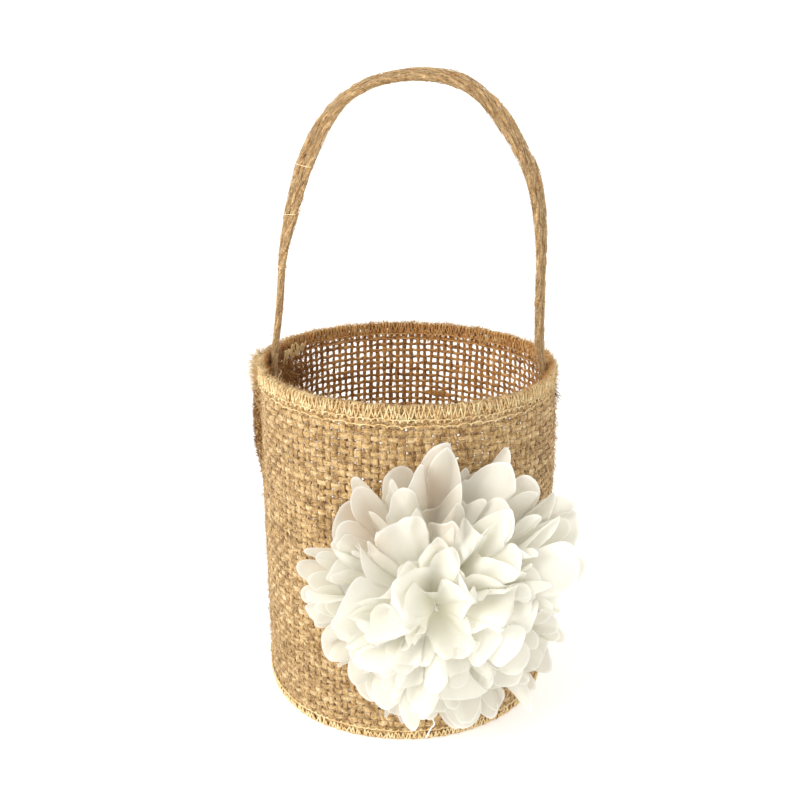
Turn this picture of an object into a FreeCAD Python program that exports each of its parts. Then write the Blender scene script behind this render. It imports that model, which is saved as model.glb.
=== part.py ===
import FreeCAD, Part
import math
import os

# Flower girl basket: a small burlap pail with an overlocked rim and foot, an outward side seam,
# a flat jute strap handle of three twines, and a layered chiffon flower on the front.
# Millimetres. +Z is up. The origin is the centre of the ring that the basket stands on.
# The X axis runs through the two ends of the handle, and the open front faces -Y.

# ---- driving dimensions -------------------------------------------------------------------
R_TOP = 49.5            # outer radius of the wall at the rim
R_BASE = 48.2           # outer radius of the wall at the foot
HEIGHT = 116.5          # foot to the top of the rim stitching
CLOTH = 1.4             # thickness of the burlap, two crossed yarns
THREAD = 0.5            # thickness of the overlock thread laid over the cloth
GAP = 0.05              # air between layers that only touch

RIM_BAND = 7.2          # height of the overlocked rim band
FOOT_BAND = 5.4         # height of the overlocked foot band
BASE_TOP = 6.9          # upper face of the bottom disc

SEAM_AZ = 184.0         # where the wall's two ends meet, degrees from +X
SEAM_SLIT = 0.1         # gap between the two ends
SEAM_PROUD = [(0.0, 0.8), (70.0, 1.0), (84.0, 2.7), (116.5, 2.9)]   # height, how far the seam allowance stands out

TWINE_R = 1.1           # radius of one two-ply jute twine
TWINE_STEP = 2.25       # spacing of the three twines across the strap
HINGE_Z = 117.0         # height at which the free handle folds over the rim
HANDLE_START = 116.9    # lower end of the free part of the twines
END_LOW, END_HIGH = 97.0, 113.2    # the sewn ends of the strap, inside the wall
END_X_LEFT, END_X_RIGHT = -46.25, 46.2
# centreline of the free strap in the XZ plane, as the corners of a rounded path
HANDLE_ROUTE = [
    (-46.0, HANDLE_START), (-43.4, 135.0), (-41.6, 153.0), (-37.3, 171.5), (-29.9, 189.5),
    (-18.0, 202.2), (-1.0, 208.2), (16.5, 206.0), (29.4, 194.4), (38.2, 177.6),
    (42.0, 158.5), (42.7, 138.0), (44.2, HANDLE_START),
]

FLOWER_AZ = 15.5        # the flower's axis, degrees from -Y towards +X
FLOWER_Z = 57.5         # height of the flower's axis
GLUE_R, GLUE_T = 14.0, 0.33
FELT_R, FELT_T = 19.0, 1.2
PETAL_T = 0.7           # thickness allowed for one chiffon layer
STITCH_R = 0.5          # thread through the middle of the petals
# layer: outer radius, distance of its middle and of its tips from the basket's axis, petals, turn
PETALS = [
    (46.0, 51.0, 51.6, 25, 0.0),
    (45.0, 52.0, 56.0, 25, 17.0),
    (43.0, 53.0, 60.5, 24, 5.0),
    (40.0, 54.0, 65.0, 22, 23.0),
    (36.0, 55.0, 69.0, 18, 9.0),
    (31.0, 56.0, 72.0, 15, 31.0),
    (25.0, 57.0, 74.0, 12, 14.0),
    (18.0, 58.0, 75.0, 10, 40.0),
    (11.0, 59.0, 75.5, 7, 20.0),
]
NOTCH = 0.91            # radius of the notches between petals, as a share of the tip radius

V = FreeCAD.Vector
UP = V(0, 0, 1)
ORIGIN = V(0, 0, 0)


def wall_radius(z):
    """Outer radius of the tapered wall at height z."""
    return R_BASE + (R_TOP - R_BASE) * z / HEIGHT


def frustum(low, high, grow):
    """Solid cone frustum of the wall's outer surface, grown by a distance, from low to high."""
    return Part.makeCone(wall_radius(low) + grow, wall_radius(high) + grow, high - low, V(0, 0, low), UP, 360)


def proud(z):
    """How far the seam allowance stands out of the wall at height z."""
    for (z0, p0), (z1, p1) in zip(SEAM_PROUD, SEAM_PROUD[1:]):
        if z <= z1:
            return p0 + (p1 - p0) * (z - z0) / (z1 - z0)
    return SEAM_PROUD[-1][1]


def fin(low, high, inner, grow, half):
    """The seam allowance: a radial fin that starts inner from the wall's outer surface, half thick each side."""
    levels = [low] + [z for z, _ in SEAM_PROUD if low < z < high] + [high]
    outer = [V(wall_radius(z) + proud(z) + grow, 0, z) for z in levels]
    back = [V(wall_radius(high) + inner, 0, high), V(wall_radius(low) + inner, 0, low)]
    points = outer + back
    face = Part.Face(Part.makePolygon(points + [points[0]]))
    solid = face.extrude(V(0, 2 * half, 0))
    solid.translate(V(0, -half, 0))
    solid.rotate(ORIGIN, UP, SEAM_AZ)
    return solid


def sleeve(low, high, outer, inner, fin_grow, fin_half):
    """The wall's shell with its seam allowance, with both grown: outer and inner are distances from the wall's outer surface."""
    shell = frustum(low, high, outer).cut(frustum(low - 1.0, high + 1.0, -inner))
    return shell.fuse(fin(low, high, -inner + 0.3, fin_grow, fin_half)).removeSplitter()


def save(name, shape):
    solids = shape.Solids
    out = solids[0] if len(solids) == 1 else Part.makeCompound(solids)
    for s in solids:
        if not s.isValid() or s.Volume <= 0:
            raise SystemExit(name + " has a bad solid")
    out.exportStep(os.path.join("parts", name + ".step"))
    print("%-28s %d solid(s) %9.1f mm3" % (name, len(solids), out.Volume))
    return out


# ---- the burlap shell ---------------------------------------------------------------------
def wall_panel():
    """One strip of burlap rolled into a tube, its two ends turned outwards against each other."""
    low, high = THREAD, HEIGHT - THREAD
    tube = sleeve(low, high, 0.0, CLOTH, 0.0, CLOTH + SEAM_SLIT / 2)
    slit = Part.makeBox(30, SEAM_SLIT, HEIGHT + 20, V(wall_radius(0) - 10, -SEAM_SLIT / 2, -5))
    slit.rotate(ORIGIN, UP, SEAM_AZ)
    return tube.cut(slit)


def base_disc():
    """The round bottom, its edge turned down inside the foot of the wall."""
    low = THREAD
    reach = -(CLOTH + GAP)
    cap = frustum(low, BASE_TOP, reach)
    hollow = frustum(low - 1.0, BASE_TOP - CLOTH, reach - CLOTH)
    return cap.cut(hollow)


def rim_overlock():
    """Overlock thread over the raw upper edge of the wall, inside and out."""
    low = HEIGHT - RIM_BAND
    skin = sleeve(low, HEIGHT, THREAD + GAP, CLOTH + THREAD + GAP, THREAD + GAP, CLOTH + SEAM_SLIT / 2 + THREAD + GAP)
    core = sleeve(low - 1.0, HEIGHT - THREAD + 0.02, GAP, CLOTH + GAP, GAP, CLOTH + SEAM_SLIT / 2 + GAP)
    return skin.cut(core)


def base_overlock():
    """Overlock thread that joins the wall's lower edge to the disc's turned-down edge. The basket stands on it."""
    inner = CLOTH * 2 + GAP
    skin = sleeve(0.0, FOOT_BAND, THREAD + GAP, inner + THREAD + GAP, THREAD + GAP, CLOTH + SEAM_SLIT / 2 + THREAD + GAP)
    core = sleeve(THREAD - 0.02, FOOT_BAND + 1.0, GAP, inner + GAP, GAP, CLOTH + SEAM_SLIT / 2 + GAP)
    return skin.cut(core)


def seam_overlock():
    """Overlock thread over the outer edge of the seam allowance, between the rim band and the foot band."""
    low, high = FOOT_BAND + 0.1, HEIGHT - RIM_BAND - 0.1
    half = CLOTH + SEAM_SLIT / 2
    skin = fin(low, high, 0.35, THREAD + GAP, half + THREAD + GAP)
    core = fin(low - 1.0, high + 1.0, -3.0, GAP, half + GAP)
    return skin.cut(core)


# ---- the handle ---------------------------------------------------------------------------
def rounded_path(points, y):
    """Straight runs joined by tangent arcs, each as large as its two runs allow."""
    pts = [V(x, y, z) for x, z in points]
    edges, last, radii = [], pts[0], []
    for a, b, c in zip(pts, pts[1:], pts[2:]):
        u, w = (a - b), (c - b)
        la, lb = u.Length, w.Length
        u.normalize()
        w.normalize()
        turn = math.pi - u.getAngle(w)
        radius = 0.45 * min(la, lb) / math.tan(turn / 2)
        cut = 0.45 * min(la, lb)
        start, end = b + u * cut, b + w * cut
        bis = (u + w)
        bis.normalize()
        mid = b + bis * (radius / math.cos(turn / 2) - radius)
        edges.append(Part.LineSegment(last, start).toShape())
        edges.append(Part.Arc(start, mid, end).toShape())
        radii.append(radius)
        last = end
    edges.append(Part.LineSegment(last, pts[-1]).toShape())
    return Part.Wire(edges), radii


def twine(y):
    path, radii = rounded_path(HANDLE_ROUTE, y)
    a, b = HANDLE_ROUTE[0], HANDLE_ROUTE[1]
    start = V(a[0], y, a[1])
    along = V(b[0] - a[0], 0, b[1] - a[1])
    ring = Part.Wire([Part.Circle(start, along, TWINE_R).toShape()])
    solid = path.makePipeShell([ring], True, False)
    want = math.pi * TWINE_R ** 2 * path.Length
    print("twine at y %+.2f: %.1f mm long, volume %.1f of %.1f, bends %s"
          % (y, path.Length, solid.Volume, want, " ".join("%.0f" % r for r in radii)))
    # the two ends are trimmed level, just above the fold
    trim = Part.makeBox(200, 40, 40, V(-100, -20, HANDLE_START - 40))
    return solid.cut(trim)


def handle_end(x):
    """The three twines of one end of the strap, side by side against the inside of the wall."""
    rods = [Part.makeCylinder(TWINE_R, END_HIGH - END_LOW, V(x, k * TWINE_STEP, END_LOW), UP) for k in (-1, 0, 1)]
    return Part.makeCompound(rods)


def handle_tack(x):
    """Three stitches over one end of the strap, their legs running out to the wall."""
    side = 1 if x > 0 else -1
    stitches = []
    half = TWINE_STEP + TWINE_R + 0.15
    for z in (99.5, 103.0, 106.5):
        bar_x = x - side * (TWINE_R + 0.1)
        bar = Part.makeBox(0.5, 2 * half + 1.0, 0.5, V(bar_x - (0.5 if side > 0 else 0.0), -half - 0.5, z))
        wall_x = math.sqrt((wall_radius(z) - CLOTH - 0.12) ** 2 - (half + 0.5) ** 2)
        length = wall_x - abs(bar_x) + 0.25
        for y in (-half - 0.5, half):
            low_x = bar_x - 0.25 if side > 0 else bar_x - length + 0.25
            bar = bar.fuse(Part.makeBox(length, 0.5, 0.5, V(low_x, y, z)))
        stitches.append(bar.removeSplitter())
    return Part.makeCompound(stitches)


# ---- the flower ---------------------------------------------------------------------------
# Built about +Z, where z is the distance from the basket's axis, then turned to face outwards.
def face_out(shape):
    f = math.radians(FLOWER_AZ)
    m = FreeCAD.Matrix(
        math.cos(f), 0, math.sin(f), 0,
        math.sin(f), 0, -math.cos(f), 0,
        0, 1, 0, FLOWER_Z,
        0, 0, 0, 1,
    )
    out = shape.copy()
    out.transformShape(m)
    return out


def patch(radius, inner, outer, low, high):
    """A round patch of a layer that follows the wall: inner and outer are distances from the wall's outer surface."""
    f = math.radians(FLOWER_AZ)
    punch = Part.makeCylinder(radius, 60, V(math.sin(f) * 20, -math.cos(f) * 20, FLOWER_Z), V(math.sin(f), -math.cos(f), 0))
    layer = frustum(low, high, outer).cut(frustum(low - 1, high + 1, inner))
    return layer.common(punch)


def outline(radius, count, turn):
    """Scalloped outline of one die-cut layer, one arc to a petal."""
    edges = []
    for k in range(count):
        a = math.radians(turn) + 2 * math.pi * k / count
        h = math.pi / count
        p = [V(NOTCH * radius * math.cos(a - h), NOTCH * radius * math.sin(a - h), 0),
             V(radius * math.cos(a), radius * math.sin(a), 0),
             V(NOTCH * radius * math.cos(a + h), NOTCH * radius * math.sin(a + h), 0)]
        edges.append(Part.Arc(*p).toShape())
    return Part.Face(Part.Wire(edges))


def petal_layer(radius, middle, tip, count, turn):
    """One gathered chiffon layer: a shallow cone with a scalloped edge and a needle hole in its middle."""
    hole = STITCH_R + 0.3
    slope = (tip - middle) / radius
    profile = [V(hole, 0, middle + slope * hole), V(radius + 2, 0, middle + slope * (radius + 2)),
               V(radius + 2, 0, middle + slope * (radius + 2) + PETAL_T), V(hole, 0, middle + slope * hole + PETAL_T)]
    dish = Part.Face(Part.makePolygon(profile + [profile[0]])).revolve(ORIGIN, UP, 360)
    prism = outline(radius, count, turn).extrude(V(0, 0, 60))
    prism.translate(V(0, 0, 40))
    return face_out(Part.Solid(dish.common(prism).Solids[0]))


def centre_stitch():
    """The thread through the middle of all the layers, with its knot at the front."""
    knot_z = PETALS[-1][1] + PETAL_T + 3.1
    start = wall_radius(FLOWER_Z) + GLUE_T + FELT_T + 0.3
    thread = Part.makeCylinder(STITCH_R, knot_z - start, V(0, 0, start), UP)
    knot = Part.makeSphere(1.5, V(0, 0, knot_z))
    return face_out(thread.fuse(knot).removeSplitter())


os.makedirs("parts", exist_ok=True)
save("wall_panel", wall_panel())
save("base_disc", base_disc())
save("rim_overlock_stitch", rim_overlock())
save("base_overlock_stitch", base_overlock())
save("side_seam_overlock_stitch", seam_overlock())
for label, y in (("front", -TWINE_STEP), ("middle", 0.0), ("back", TWINE_STEP)):
    save("handle_twine_" + label, twine(y))
for label, x in (("left", END_X_LEFT), ("right", END_X_RIGHT)):
    save("handle_end_" + label, handle_end(x))
    save("handle_tack_" + label, handle_tack(x))
save("flower_glue_pad", patch(GLUE_R, 0.03, GLUE_T, FLOWER_Z - 30, FLOWER_Z + 30))
save("flower_felt_backing", patch(FELT_R, GLUE_T + 0.03, GLUE_T + FELT_T, FLOWER_Z - 30, FLOWER_Z + 30))
for number, layer in enumerate(PETALS, 1):
    save("petal_layer_%d" % number, petal_layer(*layer))
save("flower_center_stitch", centre_stitch())
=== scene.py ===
import math

import bpy
import numpy as np
from mathutils import Matrix, Vector


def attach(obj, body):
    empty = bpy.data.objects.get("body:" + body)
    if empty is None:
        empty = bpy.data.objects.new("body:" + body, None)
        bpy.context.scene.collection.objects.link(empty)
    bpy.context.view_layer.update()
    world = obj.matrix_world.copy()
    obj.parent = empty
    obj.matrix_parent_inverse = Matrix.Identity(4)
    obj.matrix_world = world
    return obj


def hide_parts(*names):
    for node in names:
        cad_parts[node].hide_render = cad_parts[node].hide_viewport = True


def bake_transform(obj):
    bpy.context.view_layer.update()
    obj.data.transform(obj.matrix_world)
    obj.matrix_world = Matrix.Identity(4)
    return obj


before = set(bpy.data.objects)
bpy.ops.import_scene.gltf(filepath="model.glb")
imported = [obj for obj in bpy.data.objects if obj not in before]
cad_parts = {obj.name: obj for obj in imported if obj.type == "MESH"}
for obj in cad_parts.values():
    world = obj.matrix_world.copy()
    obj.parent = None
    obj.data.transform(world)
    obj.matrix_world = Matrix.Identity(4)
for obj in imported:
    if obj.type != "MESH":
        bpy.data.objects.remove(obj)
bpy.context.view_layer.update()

# Everything below is worked out in millimetres in the row's frame and scaled once, in add_mesh.
TAU = 2 * math.pi
R_TOP, R_BASE, HEIGHT = 49.5, 48.0, 116.5
CLOTH = 1.4
SEAM = math.radians(184.0)
SEAM_PROUD = ([0.0, 70.0, 84.0, 103.0, 110.0, 116.5], [0.4, 0.6, 2.7, 2.8, 1.4, 0.3])
FLOWER_AZ, FLOWER_Z = math.radians(15.5), 57.5
RNG = np.random.default_rng(20260)


# ---------------------------------------------------------------- mesh helpers
def add_mesh(name, co, quads, uv=None, mat=None, point=None, smooth=True):
    me = bpy.data.meshes.new(name)
    quads = np.asarray(quads, np.int32)
    width = quads.shape[1]
    me.vertices.add(len(co))
    me.vertices.foreach_set("co", (np.asarray(co, float) * 0.001).astype(np.float32).ravel())
    me.loops.add(quads.size)
    me.loops.foreach_set("vertex_index", quads.ravel())
    me.polygons.add(len(quads))
    me.polygons.foreach_set("loop_start", np.arange(len(quads), dtype=np.int32) * width)
    me.update(calc_edges=True)
    if uv is not None:
        layer = me.uv_layers.new(name="OFBake")
        layer.data.foreach_set("uv", np.asarray(uv, np.float32).ravel())
    for key, values in (point or {}).items():
        a = me.attributes.new(key, "FLOAT", "POINT")
        a.data.foreach_set("value", np.asarray(values, np.float32).ravel())
    if smooth:
        me.polygons.foreach_set("use_smooth", np.ones(len(quads), bool))
    if mat:
        me.materials.append(mat)
    me.validate()
    obj = bpy.data.objects.new(name, me)
    bpy.context.scene.collection.objects.link(obj)
    return obj


def unit(v):
    return v / np.maximum(np.linalg.norm(v, axis=-1, keepdims=True), 1e-9)


def transport(paths, hint=None):
    """Cross-section axes carried along each path: (M, N, 3) in, two (M, N, 3) out."""
    t = unit(np.gradient(paths, axis=1))
    m, n, _ = paths.shape
    a = np.zeros_like(paths)
    start = np.tile(np.array([0.31, 0.17, 0.93]), (m, 1)) if hint is None else hint
    cur = unit(start - (start * t[:, 0]).sum(-1, keepdims=True) * t[:, 0])
    for i in range(n):
        cur = unit(cur - (cur * t[:, i]).sum(-1, keepdims=True) * t[:, i])
        a[:, i] = cur
    return a, np.cross(t, a)


def sweep(paths, a, b, ra, rb, sides, row0=0, rows=None):
    """Tubes along paths, with half widths ra along a and rb along b. Every tube has its own strip of UV."""
    m, n, _ = paths.shape
    ra = np.broadcast_to(ra, (m, n))
    rb = np.broadcast_to(rb, (m, n))
    phi = np.arange(sides) / sides * TAU
    co = (paths[:, :, None] + a[:, :, None] * (ra[:, :, None] * np.cos(phi))[..., None]
          + b[:, :, None] * (rb[:, :, None] * np.sin(phi))[..., None])
    index = np.arange(m * n * sides).reshape(m, n, sides)
    nxt = np.roll(index, -1, axis=2)
    quads = np.stack([index[:, :-1], nxt[:, :-1], nxt[:, 1:], index[:, 1:]], axis=-1).reshape(-1, 4)
    total = rows or m
    j, i, k = np.meshgrid(np.arange(m), np.arange(n - 1), np.arange(sides), indexing="ij")
    u0, u1 = i / (n - 1), (i + 1) / (n - 1)
    v0, v1 = (row0 + j + k / sides) / total, (row0 + j + (k + 1) / sides) / total
    uv = np.stack([np.stack([u0, v0], -1), np.stack([u0, v1], -1), np.stack([u1, v1], -1), np.stack([u1, v0], -1)], axis=3)
    return co.reshape(-1, 3), quads, uv.reshape(-1, 2)


def threads(name, paths, radius, sides, mat, tint=None, taper=True):
    """Round threads along a list of paths of any lengths, joined into one object."""
    cos, qs, uvs, tints, base = [], [], [], [], 0
    groups = {}
    for k, p in enumerate(paths):
        groups.setdefault(len(p), []).append(k)
    row = 0
    for n, members in groups.items():
        p = np.array([paths[k] for k in members], float)
        r = np.array([np.broadcast_to(radius[k] if isinstance(radius, list) else radius, n) for k in members], float).copy()
        if taper:
            r[:, 0] *= 0.25
            r[:, -1] *= 0.25
        a, b = transport(p)
        co, q, uv = sweep(p, a, b, r, r, sides, row, len(paths))
        row += len(members)
        cos.append(co), qs.append(q + base), uvs.append(uv)
        t = np.array([0.5 if tint is None else tint[k] for k in members])
        tints.append(np.repeat(t, n * sides))
        base += len(co)
    return add_mesh(name, np.concatenate(cos), np.concatenate(qs), np.concatenate(uvs), mat, {"tint": np.concatenate(tints)})


def resample(points, step):
    points = np.asarray(points, float)
    d = np.concatenate([[0], np.cumsum(np.linalg.norm(np.diff(points, axis=0), axis=1))])
    n = max(3, int(round(d[-1] / step)) + 1)
    s = np.linspace(0, d[-1], n)
    return np.stack([np.interp(s, d, points[:, k]) for k in range(3)], -1)


def catmull(points, per):
    p = np.asarray(points, float)
    p = np.vstack([2 * p[0] - p[1], p, 2 * p[-1] - p[-2]])
    t = (np.arange(per) / per)[:, None]
    out = []
    for k in range(1, len(p) - 2):
        a, b, c, d = p[k - 1], p[k], p[k + 1], p[k + 2]
        out.append(0.5 * (2 * b + (c - a) * t + (2 * a - 5 * b + 4 * c - d) * t ** 2 + (3 * b - a - 3 * c + d) * t ** 3))
    return np.vstack([np.concatenate(out), p[-2][None]])


def waves(x, seeds, scales, strength):
    """Smooth noise along x, one row per seed: seeds (M,), x (N,) or (M, N)."""
    x = np.broadcast_to(x, (len(seeds), np.shape(x)[-1]))
    out = np.zeros(x.shape)
    for k, (scale, s) in enumerate(zip(scales, strength)):
        r = np.random.default_rng(77 + k)
        table = r.uniform(0, TAU, 100000)
        ph = table[(np.asarray(seeds) * 7919 + k * 104729) % 100000][:, None]
        f = 1 + 0.35 * np.sin(ph * 5.3)
        out += s * np.sin(TAU * x / scale * f + ph)
    return out


# ---------------------------------------------------------------- materials
def new_material(name):
    m = bpy.data.materials.new(name)
    m.use_nodes = True
    m.node_tree.nodes.clear()
    return m, m.node_tree.nodes, m.node_tree.links


def ramp(nodes, stops):
    r = nodes.new("ShaderNodeValToRGB")
    e = r.color_ramp.elements
    e[0].position, e[0].color = stops[0][0], (*stops[0][1], 1)
    e[1].position, e[1].color = stops[-1][0], (*stops[-1][1], 1)
    for pos, col in stops[1:-1]:
        x = e.new(pos)
        x.color = (*col, 1)
    return r


def fibre_material(name, stops, twist=(60.0, 1.0), grain=1350.0, bump=0.45, rough=0.85, sheen=0.25, through=0.12, mottle=1.6, run_on=1.9):
    """Spun fibre: colour from each yarn's own tint and two scales of noise, twist lines along the yarn's UV strip."""
    m, n, l = new_material(name)
    out = n.new("ShaderNodeOutputMaterial")
    p = n.new("ShaderNodeBsdfPrincipled")
    p.inputs["Roughness"].default_value = rough
    p.inputs["Sheen Weight"].default_value = sheen
    p.inputs["Sheen Roughness"].default_value = 0.6
    p.inputs["Specular IOR Level"].default_value = 0.25
    geo = n.new("ShaderNodeTexCoord")
    tint = n.new("ShaderNodeAttribute")
    tint.attribute_name = "tint"
    coarse = n.new("ShaderNodeTexNoise")
    coarse.inputs["Scale"].default_value = 330.0
    coarse.inputs["Detail"].default_value = 4.0
    fine = n.new("ShaderNodeTexNoise")
    fine.inputs["Scale"].default_value = grain
    fine.inputs["Detail"].default_value = 4.0
    fine.inputs["Roughness"].default_value = 0.65
    l.new(geo.outputs["Object"], coarse.inputs["Vector"])
    l.new(geo.outputs["Object"], fine.inputs["Vector"])

    def math_node(op, a, b):
        x = n.new("ShaderNodeMath")
        x.operation = op
        for k, v in enumerate((a, b)):
            if isinstance(v, (int, float)):
                x.inputs[k].default_value = v
            else:
                l.new(v, x.inputs[k])
        return x.outputs[0]

    uv = n.new("ShaderNodeUVMap")
    uv.uv_map = "OFBake"
    sep = n.new("ShaderNodeSeparateXYZ")
    l.new(uv.outputs["UV"], sep.inputs[0])
    streak = n.new("ShaderNodeTexNoise")
    streak.inputs["Scale"].default_value = 1.0
    streak.inputs["Detail"].default_value = 3.0
    streak.inputs["Roughness"].default_value = 0.7
    lay = n.new("ShaderNodeCombineXYZ")
    run = math_node("MULTIPLY", sep.outputs["X"], twist[0] * 0.55)
    l.new(run, lay.inputs[0])
    l.new(math_node("ADD", math_node("MULTIPLY", sep.outputs["Y"], twist[1] * 7.0), math_node("MULTIPLY", run, 2.2)), lay.inputs[1])
    l.new(lay.outputs[0], streak.inputs["Vector"])
    mix = math_node("ADD", math_node("MULTIPLY", coarse.outputs["Fac"], mottle), math_node("MULTIPLY", fine.outputs["Fac"], 1.90))
    mix = math_node("ADD", mix, math_node("MULTIPLY", streak.outputs["Fac"], run_on))
    mix = math_node("ADD", mix, math_node("MULTIPLY", tint.outputs["Fac"], 0.45))
    mix = math_node("SUBTRACT", mix, 0.66 + 0.5 * (mottle + run_on))
    r = ramp(n, stops)
    l.new(mix, r.inputs["Fac"])
    # painted shade: the colour is multiplied darker and redder, by (0.80, 0.52, 0.245), as far as the point attribute
    # says: yarn faces turned into the basket, the rim's inside face and a band of the side seam
    inner = n.new("ShaderNodeAttribute")
    inner.attribute_name = "inner"
    dark = n.new("ShaderNodeMix")
    dark.data_type = "RGBA"
    dark.blend_type = "MULTIPLY"
    dark.inputs[7].default_value = (0.80, 0.52, 0.245, 1)
    l.new(inner.outputs["Fac"], dark.inputs[0])
    l.new(r.outputs["Color"], dark.inputs[6])
    colour = dark.outputs[2]
    l.new(colour, p.inputs["Base Color"])
    height = math_node("ADD", fine.outputs["Fac"], math_node("MULTIPLY", streak.outputs["Fac"], 1.6))
    b = n.new("ShaderNodeBump")
    b.inputs["Strength"].default_value = bump
    b.inputs["Distance"].default_value = 0.00025
    l.new(height, b.inputs["Height"])
    l.new(b.outputs["Normal"], p.inputs["Normal"])
    if through:
        t = n.new("ShaderNodeBsdfTranslucent")
        l.new(colour, t.inputs["Color"])
        s = n.new("ShaderNodeMixShader")
        s.inputs["Fac"].default_value = through
        l.new(p.outputs["BSDF"], s.inputs[1])
        l.new(t.outputs["BSDF"], s.inputs[2])
        l.new(s.outputs["Shader"], out.inputs["Surface"])
    else:
        l.new(p.outputs["BSDF"], out.inputs["Surface"])
    return m


def plain_material(name, color, rough=0.7):
    m, n, l = new_material(name)
    out = n.new("ShaderNodeOutputMaterial")
    p = n.new("ShaderNodeBsdfPrincipled")
    p.inputs["Base Color"].default_value = (*color, 1)
    p.inputs["Roughness"].default_value = rough
    l.new(p.outputs["BSDF"], out.inputs["Surface"])
    return m


def chiffon_material(name):
    """Thin white cloth: light comes through it, a sealed edge is denser and brighter, and a fine crepe grain."""
    m, n, l = new_material(name)
    out = n.new("ShaderNodeOutputMaterial")
    p = n.new("ShaderNodeBsdfPrincipled")
    p.inputs["Roughness"].default_value = 0.62
    p.inputs["Sheen Weight"].default_value = 0.15
    p.inputs["Specular IOR Level"].default_value = 0.3
    edge = n.new("ShaderNodeAttribute")
    edge.attribute_name = "edge"
    geo = n.new("ShaderNodeTexCoord")
    grain = n.new("ShaderNodeTexNoise")
    grain.inputs["Scale"].default_value = 1500.0
    grain.inputs["Detail"].default_value = 2.0
    l.new(geo.outputs["Object"], grain.inputs["Vector"])
    cloud = n.new("ShaderNodeTexNoise")
    cloud.inputs["Scale"].default_value = 45.0
    l.new(geo.outputs["Object"], cloud.inputs["Vector"])
    r = ramp(n, [(0.3, (0.968, 0.952, 0.885)), (0.7, (0.988, 0.976, 0.922))])
    l.new(cloud.outputs["Fac"], r.inputs["Fac"])

    def toward(source, name, color, kind="MIX"):
        """Mix the colour toward another by a point attribute."""
        at = n.new("ShaderNodeAttribute")
        at.attribute_name = name
        x = n.new("ShaderNodeMix")
        x.data_type = "RGBA"
        x.blend_type = kind
        x.inputs[7].default_value = (*color, 1)
        l.new(at.outputs["Fac"], x.inputs[0])
        l.new(source, x.inputs[6])
        return x.outputs[2]

    # painted shade: the outer rounds' colour multiplied darker by (0.88, 0.872, 0.845), which leaves the inner rounds
    # lighter than their shade
    outer = n.new("ShaderNodeMix")
    outer.data_type = "RGBA"
    outer.blend_type = "MULTIPLY"
    outer.inputs[7].default_value = (0.88, 0.872, 0.845, 1)
    round_painted_light = n.new("ShaderNodeAttribute")
    round_painted_light.attribute_name = "round_painted_light"
    round_painted_shade = n.new("ShaderNodeMath")
    round_painted_shade.operation = "SUBTRACT"
    round_painted_shade.inputs[0].default_value = 1.0
    l.new(round_painted_light.outputs["Fac"], round_painted_shade.inputs[1])
    l.new(round_painted_shade.outputs[0], outer.inputs[0])
    l.new(r.outputs["Color"], outer.inputs[6])
    # painted shade: beige patches where curled petals show their shaded undersides, with the burlap's colour through
    # the cloth painted in
    base = toward(outer.outputs[2], "fold_painted_shade", (0.76, 0.66, 0.545))
    # painted shade: a yellow tint of bounced light in the gathered middle
    base = toward(base, "centre_painted_shade", (1.0, 0.985, 0.86))
    mix = n.new("ShaderNodeMix")
    mix.data_type = "RGBA"
    mix.inputs[7].default_value = (0.985, 0.98, 0.95, 1)
    l.new(edge.outputs["Fac"], mix.inputs[0])
    l.new(base, mix.inputs[6])
    l.new(mix.outputs[2], p.inputs["Base Color"])
    b = n.new("ShaderNodeBump")
    b.inputs["Strength"].default_value = 0.12
    b.inputs["Distance"].default_value = 0.0001
    l.new(grain.outputs["Fac"], b.inputs["Height"])
    l.new(b.outputs["Normal"], p.inputs["Normal"])
    t = n.new("ShaderNodeBsdfTranslucent")
    warm = n.new("ShaderNodeMix")
    warm.data_type = "RGBA"
    warm.blend_type = "MULTIPLY"
    warm.inputs[0].default_value = 1.0
    warm.inputs[7].default_value = (1.0, 0.998, 0.965, 1)
    l.new(mix.outputs[2], warm.inputs[6])
    l.new(warm.outputs[2], t.inputs["Color"])
    s = n.new("ShaderNodeMixShader")
    s.inputs["Fac"].default_value = 0.42
    l.new(p.outputs["BSDF"], s.inputs[1])
    l.new(t.outputs["BSDF"], s.inputs[2])
    clear = n.new("ShaderNodeBsdfTransparent")
    gap = n.new("ShaderNodeMixShader")
    open_share = n.new("ShaderNodeMapRange")
    open_share.inputs["To Min"].default_value = 0.07
    open_share.inputs["To Max"].default_value = 0.0
    l.new(edge.outputs["Fac"], open_share.inputs["Value"])
    l.new(open_share.outputs["Result"], gap.inputs["Fac"])
    l.new(s.outputs["Shader"], gap.inputs[1])
    l.new(clear.outputs["BSDF"], gap.inputs[2])
    l.new(gap.outputs["Shader"], out.inputs["Surface"])
    return m


BURLAP_STOPS = [(0.0, (0.19, 0.09, 0.025)), (0.35, (0.42, 0.245, 0.086)), (0.62, (0.60, 0.385, 0.155)), (1.0, (0.86, 0.63, 0.33))]
burlap_warp = fibre_material("burlap_warp", BURLAP_STOPS, twist=(46.0, 128.0))
burlap_weft = fibre_material("burlap_weft", [(0.0, (0.22, 0.115, 0.034)), (0.35, (0.49, 0.30, 0.112)), (0.62, (0.69, 0.465, 0.205)), (1.0, (0.94, 0.73, 0.43))], twist=(130.0, 50.0))
overlock_mat = fibre_material("overlock_thread", [(0.0, (0.54, 0.31, 0.108)), (0.4, (0.92, 0.62, 0.275)), (1.0, (1.0, 0.90, 0.55))], twist=(2000.0, 1.0), through=0.08)
jute_mat = fibre_material("jute_twine", [(0.0, (0.20, 0.095, 0.030)), (0.35, (0.40, 0.22, 0.085)), (0.65, (0.60, 0.375, 0.165)), (1.0, (0.88, 0.63, 0.32))], twist=(36.0, 22.0), bump=0.5, through=0.05, mottle=0.4, run_on=2.6)
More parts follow.
